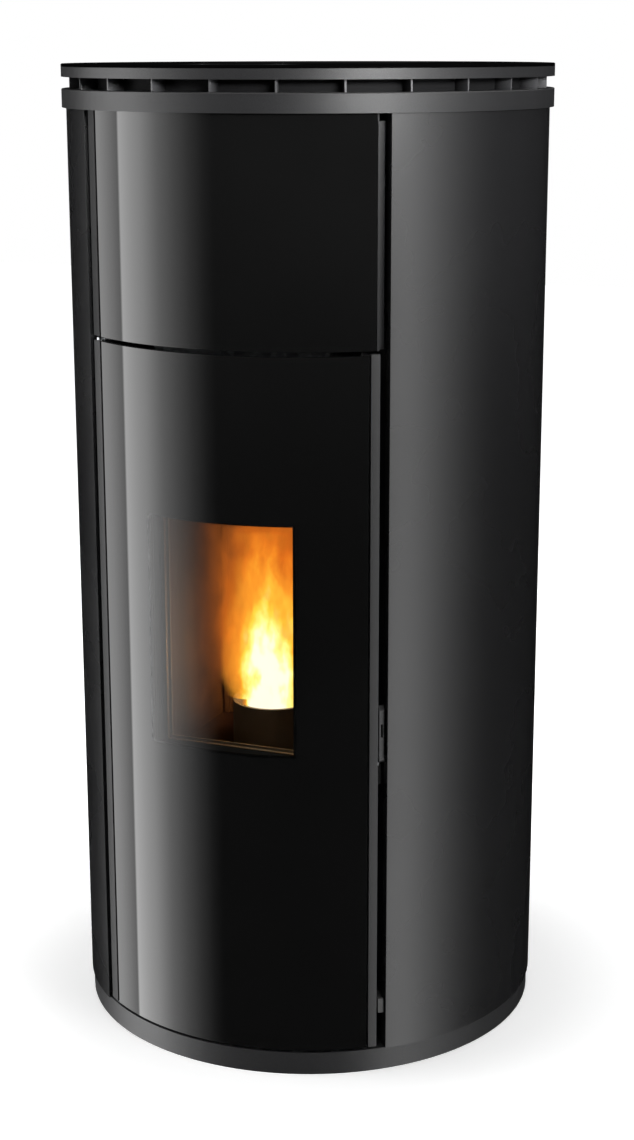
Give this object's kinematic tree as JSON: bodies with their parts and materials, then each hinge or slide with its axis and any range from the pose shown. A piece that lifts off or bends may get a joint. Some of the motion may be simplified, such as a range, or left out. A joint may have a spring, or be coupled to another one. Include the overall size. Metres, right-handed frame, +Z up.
{
  "type": "pellet stove",
  "caption": "Tall round black pellet stove with a full-height curved glass door, a fire window, a slotted warm-air ring under the top plate and a hinged pellet hopper lid.",
  "frame": {"origin": "centre of the stove's round base, on the floor", "axes": "+Z up, -Y out of the front door, +X to the right seen from the front"},
  "size_m": [0.59, 0.59, 1.183],
  "materials": {
    "black_powder_coat": "fine matt powder coat",
    "grey_powder_coat": "matt powder coat",
    "boiler_steel": "heat-stained steel",
    "galvanised_steel": "plain zinc-coated sheet",
    "zinc_screws": "zinc plated",
    "cast_iron": "rough cast",
    "clear_glass": "polished",
    "black_glass": "polished black-backed glass",
    "black_print": "fired black print",
    "rope": "braided glass-fibre rope",
    "red_paint": "gloss paint",
    "brass_pipe": "plain",
    "motor_case": "satin paint",
    "black_plastic": "fine texture",
    "display": "polished",
    "circuit_board": "solder mask",
    "foot_rubber": "plain"
  },
  "bodies": {
    "cabinet": {"air_intake_pipe": "galvanised_steel", "ash_box": "boiler_steel", "ash_drawer": "galvanised_steel", "auger_gearmotor": "motor_case", "auger_tube": "galvanised_steel", "base_plate": "galvanised_steel", "circulation_pump": "cast_iron", "control_bezel": "black_plastic", "control_board": "circuit_board", "crown_ring": "black_powder_coat", "display_window": "display", "door_hinges": "galvanised_steel", "expansion_vessel": "red_paint", "fan_housing": "galvanised_steel", "feed_chute": "galvanised_steel", "fire_back_plate": "cast_iron", "firebox": "boiler_steel", "firebox_front": "boiler_steel", "flow_pipe": "brass_pipe", "flue_spigot": "galvanised_steel", "front_posts": "grey_powder_coat", "hopper": "galvanised_steel", "igniter": "galvanised_steel", "latch_strike": "galvanised_steel", "left_side_panel": "black_powder_coat", "levelling_feet": "foot_rubber", "lid_hinges": "galvanised_steel", "lower_front_cover": "grey_powder_coat", "plinth_ring": "black_powder_coat", "power_inlet": "black_plastic", "rear_panel": "grey_powder_coat", "rear_screws": "zinc_screws", "return_connector": "brass_pipe", "return_pipe": "brass_pipe", "right_side_panel": "black_powder_coat", "service_plate": "grey_powder_coat", "smoke_duct": "galvanised_steel", "top_plate": "black_powder_coat", "upper_frame": "black_powder_coat", "upper_glass": "black_glass", "vent_grille": "grey_powder_coat", "water_jacket": "boiler_steel"},
    "door": {"door_frame": "black_powder_coat", "door_glass": "clear_glass", "door_print": "black_print", "fire_door_leaf": "cast_iron", "fire_glass": "clear_glass", "glass_retainer": "galvanised_steel", "door_gasket": "rope", "latch_pin": "galvanised_steel"},
    "latch": {"latch_handle": "black_powder_coat"},
    "lid": {"hopper_lid": "black_powder_coat", "lid_seal": "rope"},
    "pot": {"burn_pot": "boiler_steel"},
    "auger": {"auger_screw": "galvanised_steel"},
    "fan": {"fan_impeller": "galvanised_steel"},
    "rocker": {"power_switch": "black_plastic"},
    "key_power": {"button_power": "black_plastic"},
    "key_plus": {"button_plus": "black_plastic"},
    "key_minus": {"button_minus": "black_plastic"}
  },
  "joints": [
    {"name": "door_swing", "type": "hinge", "parent": "cabinet", "child": "door", "pos_m": [-0.17176, -0.22303, 0.45], "axis": [0, 0, -1], "range_deg": [0, 110]},
    {"name": "latch_pull", "type": "hinge", "parent": "door", "child": "latch", "pos_m": [0.17552, -0.21559, 0.396], "axis": [0.7755, 0.6314, 0], "range_deg": [-10, 25]},
    {"name": "lid_lift", "type": "hinge", "parent": "cabinet", "child": "lid", "pos_m": [0, 0.18802, 1.178], "axis": [-1, 0, 0], "range_deg": [0, 85]},
    {"name": "pot_lift", "type": "slide", "parent": "cabinet", "child": "pot", "axis": [0, 0, 1], "range_m": [0, 0.05]},
    {"name": "auger_turn", "type": "hinge", "parent": "cabinet", "child": "auger", "pos_m": [0, 0.1, 0.66], "axis": [0, 1, 0], "continuous": true},
    {"name": "fan_turn", "type": "hinge", "parent": "cabinet", "child": "fan", "pos_m": [0, 0.105, 0.215], "axis": [1, 0, 0], "continuous": true},
    {"name": "switch_rock", "type": "hinge", "parent": "cabinet", "child": "rocker", "pos_m": [0.108, 0.23892, 0.084], "axis": [1, 0, 0], "range_deg": [-6, 6]},
    {"name": "press_power", "type": "slide", "parent": "cabinet", "child": "key_power", "axis": [0, 0, -1], "range_m": [0, 0.001], "stiffness_N_per_m": 400},
    {"name": "press_plus", "type": "slide", "parent": "cabinet", "child": "key_plus", "axis": [0, 0, -1], "range_m": [0, 0.001], "stiffness_N_per_m": 400},
    {"name": "press_minus", "type": "slide", "parent": "cabinet", "child": "key_minus", "axis": [0, 0, -1], "range_m": [0, 0.001], "stiffness_N_per_m": 400}
  ]
}
